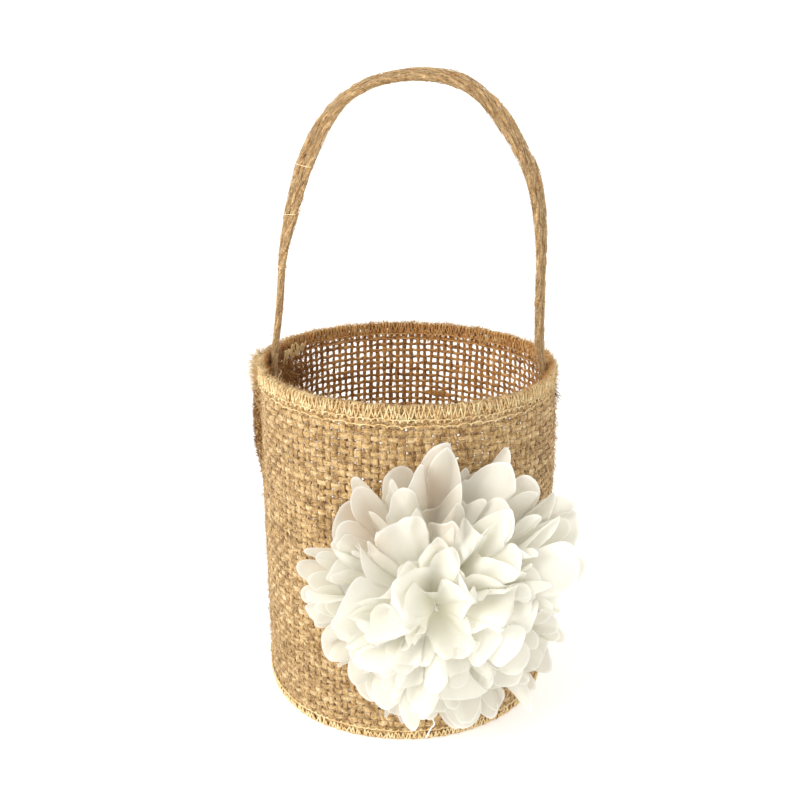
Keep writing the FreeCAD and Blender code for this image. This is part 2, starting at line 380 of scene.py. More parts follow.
fuzz_mat = fibre_material("jute_fuzz", [(0.0, (0.55, 0.36, 0.16)), (1.0, (0.94, 0.76, 0.47))], twist=(1.0, 1.0), bump=0.0, sheen=0.0, through=0.3)
# dark brown fibres: the side seam's own dark fuzz, and painted shadow where they are bunched in the seam's gap and
# behind the strap's right end
dark_fuzz_painted_shadow_mat = fibre_material("jute_fuzz_dark", [(0.0, (0.10, 0.035, 0.010)), (0.6, (0.34, 0.15, 0.045)), (1.0, (0.62, 0.38, 0.16))], twist=(1.0, 1.0), bump=0.0, sheen=0.0, through=0.2)
fray_mat = fibre_material("jute_fray", [(0.0, (0.24, 0.10, 0.03)), (0.5, (0.46, 0.22, 0.075)), (1.0, (0.74, 0.45, 0.19))], twist=(1.0, 1.0), bump=0.0, sheen=0.0, through=0.1)
tail_mat = fibre_material("loose_overlock_thread", [(0.0, (0.88, 0.62, 0.28)), (1.0, (1.0, 0.88, 0.55))], twist=(2000.0, 1.0), through=0.45)
chiffon = chiffon_material("chiffon")
felt_mat = plain_material("felt", (0.90, 0.89, 0.84), 0.95)
glue_mat = plain_material("glue", (0.86, 0.82, 0.70), 0.45)
white_mat = plain_material("white_thread", (0.93, 0.92, 0.88), 0.7)


# ---------------------------------------------------------------- the burlap wall
def r_mid(z):
    return R_BASE + (R_TOP - R_BASE) * z / HEIGHT - CLOTH / 2


def shape_shift(th, z):
    """How far the soft wall stands from a true cone: fuller low at the front left, and on the right below the rim."""
    f = np.clip(z / HEIGHT, 0, 1)
    front_left = np.angle(np.exp(1j * (th - math.radians(236.0))))
    right = np.angle(np.exp(1j * th))
    side = np.interp(z, [0.0, 60.0, 88.0, 104.0, 116.5], [0.9, 1.7, 1.2, 0.2, -0.9])
    return (0.22 * np.sin(2 * (th - SEAM) + 0.7) * f ** 2 + 0.12 * np.sin(5 * (th - SEAM) + z * 0.03)
            + 1.2 * np.exp(-(front_left / 0.42) ** 2) * np.clip(1 - z / 70.0, 0, 1) + side * np.exp(-(right / 0.75) ** 2))


ARC = TAU * 48.0
FLANGE = 3.6
OFF = CLOTH / 2 + 0.12


def wall_point(s, z):
    """Middle of the cloth and its outward normal. s runs 0..ARC round the wall, below 0 and above ARC in the seam allowance."""
    s, z = np.broadcast_arrays(np.asarray(s, float), np.asarray(z, float))
    r = r_mid(z) + shape_shift(SEAM + np.clip(s, 0, ARC) / ARC * TAU, z)
    proud = np.interp(z, *SEAM_PROUD) + 0.2
    d = OFF / r
    inside = np.clip(s, 0, ARC)
    th = SEAM + d + (TAU - 2 * d) * inside / ARC
    p = np.stack([r * np.cos(th), r * np.sin(th), z], -1)
    nrm = np.stack([np.cos(th), np.sin(th), 0 * z], -1)
    er = np.array([math.cos(SEAM), math.sin(SEAM), 0.0])
    et = np.array([-math.sin(SEAM), math.cos(SEAM), 0.0])
    for side, over in ((1, -s), (-1, s - ARC)):
        t = np.clip(over, 0, FLANGE) / FLANGE
        m = over > 0
        flange = (r * np.cos(d))[..., None] * er + (t * (proud + CLOTH / 2))[..., None] * er + side * OFF * et
        flange = flange + np.stack([0 * z, 0 * z, z], -1)
        p = np.where(m[..., None], flange, p)
        nrm = np.where(m[..., None], side * et, nrm)
    return p, nrm


def closing(z, low=5.4, high=7.0):
    """1 inside the sewn bands at the foot and the rim, where the overlock pulls the yarns together."""
    a = np.clip((z - (HEIGHT - high)) / 2.0, 0, 1)
    b = np.clip((low - z) / 2.0, 0, 1)
    return np.maximum(a, b)


WARPS = 117
WARP_PITCH = ARC / WARPS
WEFT_PITCH = 2.42
FRONT = math.radians(-90)


def frontness(s):
    th = SEAM + TAU * np.clip(s, 0, ARC) / ARC
    return np.clip(0.55 + 0.95 * np.cos(th - FRONT), 0, 1)


def warp_yarns():
    s = np.concatenate([[-FLANGE * 0.8, -FLANGE * 0.3], (np.arange(WARPS) + 0.5) * WARP_PITCH, [ARC + FLANGE * 0.3, ARC + FLANGE * 0.8]])
    m = len(s)
    n = 124
    z = np.linspace(0.75, HEIGHT - 0.75, n)
    ids = np.arange(m)
    wander = waves(z, ids, (23.0, 9.0, 4.7), (0.11, 0.07, 0.04))
    wander[:2] *= 0.3
    wander[-2:] *= 0.3
    S = s[:, None] + wander
    Z = np.broadcast_to(z, S.shape)
    p, nrm = wall_point(S, Z)
    sign = np.where(ids % 2 == 0, 1.0, -1.0)[:, None]
    p = p + nrm * (0.24 * sign * np.cos(math.pi * (Z - 1.2) / WEFT_PITCH))[..., None]
    t = unit(np.gradient(p, axis=1))
    a = unit(np.cross(nrm, t))
    front = frontness(S)
    half = 0.69 + 0.37 * front + waves(z, ids + 500, (17.0, 6.1, 3.3), (0.08, 0.07, 0.06)) + 0.05 * np.sin(ids * 12.9898)[:, None]
    half = half * (1 + 0.55 * closing(Z))
    thick = 0.30 + waves(z, ids + 900, (11.0, 5.0), (0.03, 0.02))
    co, q, uv = sweep(p, a, nrm, half, thick, 6)
    # painted shade: the half of each yarn that faces into the basket gets the darkening mask
    inner = np.broadcast_to(np.clip(-np.sin(np.arange(6) / 6 * TAU + 0.01), 0, 1) ** 0.5, (m, n, 6))
    tint = np.clip(0.5 + 0.22 * RNG.standard_normal(m), 0, 1)[:, None] + 0.13 * waves(z, ids + 1300, (31.0, 8.0), (1.0, 0.6))
    return add_mesh("wall_warp", co, q, uv, burlap_warp, {"tint": np.repeat(tint[..., None], 6, axis=2), "inner": inner})


def weft_yarns():
    rows = np.arange(48)
    zs = 1.2 + WEFT_PITCH * rows
    n = 120 * 4 + 1
    s = np.linspace(-FLANGE, ARC + FLANGE, n)
    objs = []
    for name, pick in (("wall_weft_lower", rows < 25), ("wall_weft_upper", rows >= 25)):
        ids = rows[pick]
        z = zs[pick][:, None] + waves(s, ids + 40, (57.0, 21.0, 6.0), (0.16, 0.10, 0.05))
        S = np.broadcast_to(s, z.shape)
        p, nrm = wall_point(S, z)
        sign = np.where(ids % 2 == 0, 1.0, -1.0)[:, None]
        phase = np.cos(math.pi * (S - 0.5 * WARP_PITCH) / WARP_PITCH)
        crimp = np.sign(phase) * np.abs(phase) ** 0.75
        p = p - nrm * (0.43 * sign * crimp)[..., None]
        out = -sign * crimp
        t = unit(np.gradient(p, axis=1))
        a = unit(np.cross(nrm, t))
        b = np.cross(t, a)
        front = frontness(S)
        half = 0.59 + 0.37 * front + waves(s, ids + 240, (19.0, 7.0, 3.1), (0.08, 0.07, 0.05)) + 0.04 * out
        # a thick place in one yarn, high on the back of the wall
        if name == "wall_weft_upper":
            bumpy = np.exp(-((S - ARC * 0.72) / 4.5) ** 2) * (ids[:, None] == 36)
            half = half + 0.75 * bumpy
        half = np.minimum(half * (1 + 0.6 * closing(z)), np.maximum(z - 0.5, 0.3))
        thick = 0.30 + waves(s, ids + 640, (13.0, 5.0), (0.03, 0.02))
        co, q, uv = sweep(p, a, b, half, thick, 6)
        tint = np.clip(0.5 + 0.2 * RNG.standard_normal(len(ids)), 0, 1)[:, None] + 0.12 * waves(s, ids + 1700, (43.0, 9.0), (1.0, 0.6))
        # painted shade: the half of each weft yarn that faces into the basket gets the darkening mask
        inner = np.broadcast_to(np.clip(-np.einsum("mnk,mnk->mn", b, nrm)[..., None] * np.sin(np.arange(6) / 6 * TAU + 0.01), 0, 1) ** 0.5, (len(ids), n, 6))
        objs.append(add_mesh(name, co, q, uv, burlap_weft, {"tint": np.repeat(tint[..., None], 6, axis=2), "inner": inner}))
    return objs


def hairs(name, roots, dirs, length, radius, mat, segs=5, curl=0.5, seed=1):
    """Loose fibres: short curved hairs from roots, starting along dirs."""
    r = np.random.default_rng(seed)
    m = len(roots)
    d = unit(dirs + 0.35 * r.standard_normal((m, 3)))
    bend = unit(r.standard_normal((m, 3)))
    t = np.linspace(0, 1, segs)[None, :, None]
    L = np.asarray(length, float).reshape(-1, 1, 1)
    c = (curl * r.uniform(0.4, 1.4, m))[:, None, None]
    side = unit(r.standard_normal((m, 3)))
    p = roots[:, None] + d[:, None] * t * L + bend[:, None] * c * L * t ** 2 + side[:, None] * 0.08 * L * np.sin(t * 7)
    a, b = transport(p)
    rr = radius * np.linspace(1, 0.35, segs)[None] * np.ones((m, 1))
    co, q, uv = sweep(p, a, b, rr, rr, 3)
    tint = np.clip(0.5 + 0.3 * r.standard_normal(m), 0, 1)
    return add_mesh(name, co, q, uv, mat, {"tint": np.repeat(tint, segs * 3)})


def wall_fuzz():
    r = np.random.default_rng(5)
    m = 3600
    s = r.uniform(0, ARC, m)
    z = r.uniform(4.5, HEIGHT - 2, m)
    p, nrm = wall_point(s, z)
    out = np.where(r.uniform(size=m) < 0.8, 1.0, -1.0)[:, None]
    tang = np.stack([-nrm[:, 1], nrm[:, 0], 0 * z], -1)
    d = nrm * out * r.uniform(0.15, 0.8, m)[:, None] + tang * r.standard_normal((m, 1)) * 0.8 + np.array([0, 0, 1.0]) * r.standard_normal((m, 1)) * 0.8
    return hairs("wall_fuzz", p + nrm * out * 0.55, d, r.uniform(0.9, 2.6, m), 0.045, fuzz_mat, seed=6)


def wall_fibres():
    """Fibres that lie on the outer face of the burlap."""
    r = np.random.default_rng(25)
    m = 10500
    s = r.uniform(0, ARC, m)
    z = r.uniform(5.5, HEIGHT - 7, m)
    p, nrm = wall_point(s, z)
    tang = np.stack([-nrm[:, 1], nrm[:, 0], 0 * z], -1)
    flat_way = r.uniform(size=m) < 0.5
    a, b = np.where(flat_way, 1.0, 0.35) * r.choice([-1.0, 1.0], m), np.where(flat_way, 0.35, 1.0) * r.choice([-1.0, 1.0], m)
    d = nrm * 0.10 + tang * a[:, None] + np.array([0, 0, 1.0]) * b[:, None]
    return hairs("wall_fibres", p + nrm * 0.74, d, r.uniform(1.2, 4.6, m), 0.085, fuzz_mat, segs=4, curl=0.3, seed=26)


def shade_inside(obj, radius, depth):
    """Painted shade on the inside face of a sewn edge: sets the attribute that multiplies the colour darker and redder.
    """
    me = obj.data
    co = np.empty(len(me.vertices) * 3, np.float32)
    me.vertices.foreach_get("co", co)
    co = co.reshape(-1, 3)
    rr = np.hypot(co[:, 0], co[:, 1]) * 1000
    val = np.clip((radius - rr) / 0.8, 0, 1) * depth
    at = me.attributes.get("inner") or me.attributes.new("inner", "FLOAT", "POINT")
    at.data.foreach_set("value", val.astype(np.float32))


# ---------------------------------------------------------------- overlock stitching
class Band:
    """An edge of cloth: apex(s) is the edge's line, outward(s) points out of the cloth at the edge, face(s) is the outer face's normal."""

    def __init__(self, apex, outward, face, thick, seed):
        self.apex, self.outward, self.face, self.thick, self.seed = apex, outward, face, thick, seed

    def at(self, s, q, lift):
        """s along the edge, q across it (positive on the outer face, 0 on the edge), lift above the cloth."""
        s, q, lift = np.broadcast_arrays(np.asarray(s, float), np.asarray(q, float), np.asarray(lift, float))
        o, d, f = self.apex(s), self.outward(s), self.face(s)
        h = self.thick / 2
        qc = h * math.pi / 2
        phi = np.clip(q / h, -math.pi / 2, math.pi / 2)
        along = h * (1 - np.cos(phi)) + np.maximum(np.abs(q) - qc, 0)
        normal = f * np.sin(phi)[..., None] + d * np.cos(phi)[..., None]
        return o - d * along[..., None] + f * (h * np.sin(phi))[..., None] + normal * lift[..., None]


def overlock(name, band, length, closed, pitch, depth, rows, radius, mat, wind=2):
    """Looper threads that wrap over the edge and cross, and chain rows of small loops under them."""
    r = np.random.default_rng(band.seed)
    paths, radii, tint = [], [], []
    count = int(round(length / pitch))
    pitch = length / count
    # looper threads, over the edge and back once a stitch
    for w in range(wind):
        knots_s, knots_q, knots_l = [], [], []
        for k in range(count * 4 + 1):
            phase = k % 4
            jit = r.normal(0, 0.16, 3)
            s = (k / 4 + w / wind) * pitch + jit[0] * 2.2
            q = (depth + jit[1] * 2.4, 0.0, -depth + jit[1] * 2.4, 0.0)[phase]
            knots_s.append(s), knots_q.append(q), knots_l.append(radius * (0.8 + 0.6 * (w % 2)) + 0.08 * abs(jit[2]))
        t = np.arange(len(knots_s))
        fine = np.linspace(0, len(t) - 1, (len(t) - 1) * 6 + 1)
        f = fine - np.floor(fine)
        base = np.minimum(np.floor(fine).astype(int), len(t) - 2)
        mixf = f
        ks, kq, kl = np.array(knots_s), np.array(knots_q), np.array(knots_l)
        s = ks[base] * (1 - mixf) + ks[base + 1] * mixf
        q = kq[base] * (1 - mixf) + kq[base + 1] * mixf
        lft = kl[base] * (1 - mixf) + kl[base + 1] * mixf
        s = s + 0.12 * np.sin(fine * 2.1 + w)
        paths.append(band.at(s, q, lft))
        radii.append(radius * (1 + 0.12 * np.sin(fine * 1.7 + w * 2)))
        tint.append(0.55 + 0.25 * r.uniform())
    # chain rows
    for d0, p_row, c, b, lift in rows:
        nrow = int(round(length / p_row))
        p_row = length / nrow
        t = np.linspace(0, nrow, nrow * 10 + 1)
        noise = waves(t, np.array([band.seed * 3 + int(d0 * 10)]), (3.7, 1.9), (0.10, 0.08))[0]
        for face in (1, -1):
            s = p_row * t - c * np.sin(TAU * t) + noise
            q = face * (d0 + b * np.cos(TAU * t) + 0.7 * noise)
            paths.append(band.at(s, q, radius * 1.1 + lift * (1 + np.sin(TAU * t + 0.8)) * 0.5))
            radii.append(np.full(len(t), radius * 0.95))
            tint.append(0.5 + 0.3 * r.uniform())
    return threads(name, paths, radii, 5, mat, tint, taper=not closed)


def rim_apex(s):
    th = SEAM + s / (R_TOP - CLOTH / 2)
    r = R_TOP - CLOTH / 2 + shape_shift(th, HEIGHT)
    rough = 0.16 * np.sin(th * 23.0 + 1.0) + 0.10 * np.sin(th * 61.0)
    return np.stack([r * np.cos(th), r * np.sin(th), 0 * s + HEIGHT - 0.45 + rough], -1)


def ring_face(radius):
    def f(s):
        th = SEAM + s / radius
        return np.stack([np.cos(th), np.sin(th), 0 * s], -1)
    return f


def base_apex(s):
    th = SEAM + s / 46.0
    r = R_BASE - CLOTH + shape_shift(th, 0 * s)
    return np.stack([r * np.cos(th), r * np.sin(th), 0 * s + 0.85], -1)


def up(s):
    return np.stack([0 * s, 0 * s, 0 * s + 1], -1)


def down(s):
    return -up(s)


SEAM_R = np.array([math.cos(SEAM), math.sin(SEAM), 0.0])
SEAM_T = np.array([-math.sin(SEAM), math.cos(SEAM), 0.0])


def seam_apex(s):
    z = 5.0 + s
    r = r_mid(z) + CLOTH / 2 + np.interp(z, *SEAM_PROUD) + 0.1
    return r[..., None] * SEAM_R + np.stack([0 * s, 0 * s, z], -1)


def seam_out(s):
    return np.broadcast_to(SEAM_R, s.shape + (3,))


def seam_face(s):
    return np.broadcast_to(SEAM_T, s.shape + (3,))


def edge_fuzz(name, band, length, count, mat, reach, seed, radius=0.05):
    """Cut fibre ends that stand out of a sewn edge."""
    r = np.random.default_rng(seed)
    s = r.uniform(0, length, count)
    q = r.normal(0, 0.9, count)
    p = band.at(s, q, 0.2 * np.ones(count))
    d = p - band.at(s, q, -0.8 * np.ones(count))
    return hairs(name, p, d + 0.5 * r.standard_normal((count, 3)), r.uniform(*reach, count), radius, mat, seed=seed + 1)


# ---------------------------------------------------------------- the bottom
def base_weave():
    pitch, reach = 2.4, 44.6
    objs = []
    z0 = 6.15
    for axis in (0, 1):
        offs = (np.arange(36) - 17.5) * pitch
        n = 140
        paths = []
        for k, o in enumerate(offs):
            half = math.sqrt(max(reach ** 2 - o ** 2, 4.0))
            t = np.linspace(-half, half, n)
            sign = 1 if (k + axis) % 2 == 0 else -1
            w = 0.3 * sign * np.cos(math.pi * (t - 0.5 * pitch) / pitch)
            side = o + 0.1 * np.sin(t * 0.21 + k)
            pt = np.stack([t, side + 0 * t, z0 + w], -1)
            if axis:
                pt = pt[:, [1, 0, 2]]
            paths.append(pt)
        p = np.array(paths)
        up_n = np.zeros_like(p)
        up_n[..., 2] = 1
        t = unit(np.gradient(p, axis=1))
        a = unit(np.cross(up_n, t))
        ids = np.arange(36) + 60 * axis
        half = 0.62 + waves(np.arange(n), ids, (37.0, 11.0), (0.06, 0.05))
        co, q, uv = sweep(p, a, up_n, half, 0.31, 6)
        tint = np.repeat(np.clip(0.45 + 0.2 * RNG.standard_normal(36), 0, 1), n * 6)
        objs.append(add_mesh("base_weave_%s" % "xy"[axis], co, q, uv, burlap_warp if axis else burlap_weft, {"tint": tint}))
    # the disc's edge, turned down inside the foot of the wall
    th = np.linspace(0, TAU, 241)[:-1]
    prof = [(44.2, 6.2), (45.0, 5.9), (45.55, 5.0), (45.6, 3.0), (45.55, 1.0)]
    co = np.array([[r * math.cos(a), r * math.sin(a), z] for a in th for r, z in prof])
    k = len(prof)
    quads = [[i * k + j, ((i + 1) % 240) * k + j, ((i + 1) % 240) * k + j + 1, i * k + j + 1] for i in range(240) for j in range(k - 1)]
    uv = [[(i + di) / 240, (j + dj) / (k - 1)] for i in range(240) for j in range(k - 1) for di, dj in ((0, 0), (1, 0), (1, 1), (0, 1))]
    skirt = add_mesh("base_turned_edge", co, quads, uv, burlap_warp, {"tint": np.full(len(co), 0.45)})
    objs.append(skirt)
    return objs


# ---------------------------------------------------------------- the handle
# x, z of the strap's middle, the turn of its width out of the wall's direction in degrees, and the strap's half width
HANDLE = [
    (-46.3, 97.0, 0, 2.2), (-46.3, 106.0, 0, 2.2), (-46.3, 112.5, 8, 2.2), (-45.8, 117.0, 18, 2.1), (-43.7, 133.2, 13, 1.95),
    (-42.1, 149.8, 26, 2.0), (-39.4, 161.6, 52, 2.05), (-35.8, 174.6, 72, 2.05), (-32.0, 184.1, 80, 2.1), (-27.2, 192.7, 58, 2.05),
    (-20.7, 199.9, 34, 2.0), (-12.6, 204.3, 30, 2.0), (-3.6, 206.5, 30, 2.0), (3.9, 207.0, 34, 2.0), (13.2, 205.6, 46, 2.0),
    (20.5, 201.8, 40, 2.05), (27.6, 195.0, 60, 2.1), (33.8, 185.5, 44, 2.05), (38.4, 176.5, 48, 2.0), (40.9, 165.5, 42, 1.95),
    (42.1, 153.5, 25, 1.9), (42.6, 135.4, 22, 1.95), (43.3, 121.9, 15, 2.0), (44.6, 115.6, 6, 2.1), (46.2, 110.5, 0, 2.2),
    (46.3, 104.0, 0, 2.2), (46.3, 97.0, 0, 2.2),
]


def strap_frame(per=26):
    c = catmull(HANDLE, per)
    d = np.concatenate([[0], np.cumsum(np.linalg.norm(np.diff(c[:, :2], axis=0), axis=1))])
    n = int(d[-1] / 0.42)
    s = np.linspace(0, d[-1], n)
    x, z, turn, half = (np.interp(s, d, c[:, k]) for k in range(4))
    k = np.ones(9) / 9
    for arr in (turn, half):
        pad = np.pad(arr, 4, mode="edge")
        arr[:] = np.convolve(pad, k, mode="valid")
    p = np.stack([x, 0 * x, z], -1)
    t = unit(np.gradient(p, axis=0))
    inplane = np.stack([t[:, 2], 0 * x, -t[:, 0]], -1)
    across = np.cos(np.radians(turn))[:, None] * np.array([0, -1.0, 0]) + np.sin(np.radians(turn))[:, None] * inplane
    face = np.cross(t, across)
    return s, p, t, across, face, half


def handle():
    s, p, t, across, face, half = strap_frame()
    plies, radii, tint = [], [], []
    lay = 11.5
    r = np.random.default_rng(41)
    twine_lines = []
    for k in (-1, 0, 1):
        wob = waves(s, np.array([k + 900]), (31.0, 12.0), (0.14, 0.08))[0]
        wob2 = waves(s, np.array([k + 930]), (23.0, 9.0), (0.12, 0.07))[0]
        line = p + across * (k * half * 0.82 + 0.8 * wob)[:, None] + face * (wob2 + 0.10 * (k == 0))[:, None]
        twine_lines.append(line)
        for ply in (0, 1):
            ang = TAU * s / (lay * (1 + 0.05 * k)) + ply * math.pi + k * 1.1 + 0.4 * waves(s, np.array([k + 950]), (41.0,), (1.0,))[0]
            off = 0.40
            line2 = line + across * (off * np.cos(ang))[:, None] + face * (off * np.sin(ang))[:, None]
            plies.append(line2)
            radii.append(0.66 * (1 + 0.10 * waves(s, np.array([k * 2 + ply + 970]), (9.0, 3.7), (1.0, 0.6))[0]))
            tint.append(np.clip(0.5 + 0.15 * r.standard_normal(), 0, 1))
    strap = threads("handle_twines", plies, radii, 9, jute_mat, tint)
    # loose fibres along the strap
    m = 3300
    i = r.integers(20, len(s) - 20, m)
    side = r.uniform(0, TAU, m)
    d = across[i] * np.cos(side)[:, None] + face[i] * np.sin(side)[:, None]
    roots = p[i] + across[i] * (np.cos(side) * (half[i] + 0.6))[:, None] + face[i] * (np.sin(side) * 0.75)[:, None]
    lengths = 0.8 + 2.2 * r.uniform(size=m) ** 3 + (r.uniform(size=m) < 0.05) * r.uniform(1.5, 4.5, m)
    fuzz = hairs("handle_fuzz", roots, d * 0.75 + t[i] * r.normal(0, 1.0, (m, 1)), lengths, 0.06, fuzz_mat, segs=6, curl=0.9, seed=43)
    # fibres that lie along the strap's surface
    m = 1500
    i = r.integers(10, len(s) - 40, m)
    side = r.uniform(0, TAU, m)
    lie = []
    for kk in range(m):
        idx = i[kk] + np.arange(0, r.integers(8, 26), 2)
        idx = np.clip(idx, 0, len(s) - 1)
        a0 = side[kk] + 0.05 * np.arange(len(idx)) * r.normal(0.6, 1.0)
        lift = 1.0 + 0.05 * r.normal() + 0.10 * (np.linspace(-1, 1, len(idx)) ** 2) * r.uniform(0, 1)
        lie.append(p[idx] + across[idx] * (np.cos(a0) * (half[idx] * 0.82 + 0.98) * lift)[:, None]
                   + face[idx] * (np.sign(np.sin(a0)) * np.abs(np.sin(a0)) ** 0.6 * 1.04 * lift)[:, None])
    lying = threads("handle_fibres", lie, 0.095, 3, fuzz_mat, list(np.clip(r.normal(0.35, 0.35, m), 0, 1.0)))
    # a few pale cross threads on the left run
    wraps, rad = [], []
    for z_at, tilt in ((178.5, 0.25), (146.0, -0.2), (163.0, 0.5)):
        k = int(np.argmin(np.abs(p[: len(p) // 2, 2] - z_at)))
        a = np.linspace(0.2, 0.2 + TAU * 0.9, 26)
        w = p[k] + across[k] * (np.cos(a) * (half[k] + 1.05))[:, None] + face[k] * (np.sin(a) * 1.25)[:, None] + t[k] * (tilt * 2.2 * np.cos(a))[:, None]
        wraps.append(w), rad.append(0.17)
    cross = threads("handle_cross_threads", wraps, [np.full(26, x) for x in rad], 5, overlock_mat, [0.9] * 3)
    return strap, fuzz, cross, lying


def tack(name, side):
    """Stitches that sew one end of the strap to the wall, with loose ends."""
    r = np.random.default_rng(60 + side)
    x0 = 45.35 * side
    paths, tails = [], []
    for z0 in (99.0, 101.6, 104.2, 106.8):
        pts = [(side * 47.6, -4.4, z0), (x0 - side * 0.5, -3.2, z0 + 0.3), (x0 - side * 0.75, 0, z0 + 1.1), (x0 - side * 0.5, 3.2, z0 + 1.9), (side * 47.6, 4.4, z0 + 2.2)]
        paths.append(catmull(np.array(pts) + r.normal(0, 0.12, (5, 3)), 8))
    if side < 0:
        # the untidy zig-zag tail beside the strap's end
        for start, count, z0, swing, rise, rr in ((170.0, 11, 112.6, 1.5, 0.05, 45.9), (167.0, 10, 110.9, 1.7, 0.18, 45.6), (170.5, 8, 111.8, 2.0, 0.12, 45.3)):
            pts = []
            for k in range(count):
                th = math.radians(start - 1.75 * k)
                pts.append((rr * math.cos(th), rr * math.sin(th), z0 + (swing if k % 2 else -swing) + rise * k))
            tails.append(catmull(np.array(pts) + r.normal(0, 0.5, (count, 3)), 8))
    sewn = threads(name, paths, [np.full(len(q), 0.24) for q in paths], 6, overlock_mat, [0.8] * len(paths))
    if tails:
        loose = ride(threads("handle_loose_thread", tails, [np.full(len(q), 0.23) for q in tails], 6, tail_mat, [0.9] * len(tails)))
    return sewn


# ---------------------------------------------------------------- the flower
F_OUT = np.array([math.sin(FLOWER_AZ), -math.cos(FLOWER_AZ), 0.0])
F_X = np.array([math.cos(FLOWER_AZ), math.sin(FLOWER_AZ), 0.0])
F_Z = np.array([0.0, 0.0, 1.0])
# how far the petal tips reach, by direction round the flower: degrees from its right, and millimetres
REACH = np.array([
    (8, 43.5), (17, 46.5), (26, 50.5), (37, 51.5), (47, 48.5), (54, 47.8), (64, 49.5), (69, 44.0), (74, 38.5), (79, 43.5), (87, 51.0), (98, 45.2), (109, 41.0), (113, 38.0), (117, 41.0), (120, 43.6), (127, 44.2),
    (142, 40.0), (156, 41.6), (166, 41.5), (191, 37.0), (206, 37.2), (225, 38.0), (238, 41.0), (252, 45.0), (261, 49.4), (271, 45.6),
    (282, 49.4), (295, 49.0), (303, 46.0), (311, 51.5), (327, 45.6), (343, 44.4), (352, 41.5),
])
# one chiffon round each: size, petals, lift of the cloth off the wall in degrees, gather, bend of the cloth along its radius in degrees,
# height of the middle, turn, ruffles, seed
ROUNDS = [
    (1.000, 25, 3.0, 1.10, 5.0, 51.4, 0.00, (7, 11), 3),
    (0.975, 25, 7.0, 1.12, 7.0, 52.2, 0.42, (8, 12), 5),
    (0.925, 24, 12.0, 1.15, 10.0, 53.2, 0.10, (7, 11), 8),
    (0.865, 22, 17.0, 1.17, 13.0, 54.2, 0.35, (7, 10), 13),
    (0.790, 18, 22.0, 1.19, 16.0, 55.2, 0.05, (6, 9), 21),
    (0.715, 15, 27.0, 1.20, 19.0, 56.2, 0.30, (5, 8), 34),
    (0.630, 12, 30.0, 1.20, 15.0, 57.4, 0.15, (4, 7), 55),
    (0.520, 10, 33.0, 1.18, 12.0, 58.8, 0.45, (3, 5), 89),
    (0.380, 7, 36.0, 1.15, 8.0, 60.2, 0.20, (2, 4), 146),
]


def meander(lift, gather, ruffles, seed, n=1440):
    """A closed curve on the unit sphere near one latitude, of length gather times a full turn: the edge of a ruffled cone."""
    r = np.random.default_rng(seed)
    psi = np.arange(n) / n * TAU
    shape = sum(w * np.sin(m * psi + r.uniform(0, TAU)) for m, w in ((ruffles[0], 1.0), (ruffles[1], 0.75), (ruffles[1] + 3, 0.35), (2, 0.25)))
    shape = shape / np.abs(shape).max()
    step = TAU * gather / n
    b0 = math.radians(lift)

    def run(amp, tilt):
        heading = amp * shape + tilt
        beta = b0 + np.cumsum(np.sin(heading)) * step
        beta = beta - beta.mean() + b0
        alpha = np.cumsum(np.cos(heading) / np.maximum(np.cos(beta), 0.2)) * step
        return beta, alpha

    low, high = 0.0, 2.6
    for _ in range(40):
        amp = (low + high) / 2
        tilt = 0.0
        for _ in range(12):
            s = np.sin(amp * shape + tilt).mean()
            c = np.cos(amp * shape + tilt).mean()
            tilt -= s / max(c, 0.05)
        beta, alpha = run(amp, tilt)
        if alpha[-1] > TAU:
            low = amp
        else:
            high = amp
    alpha = alpha * TAU / alpha[-1]
    return psi, beta, alpha - alpha[0]


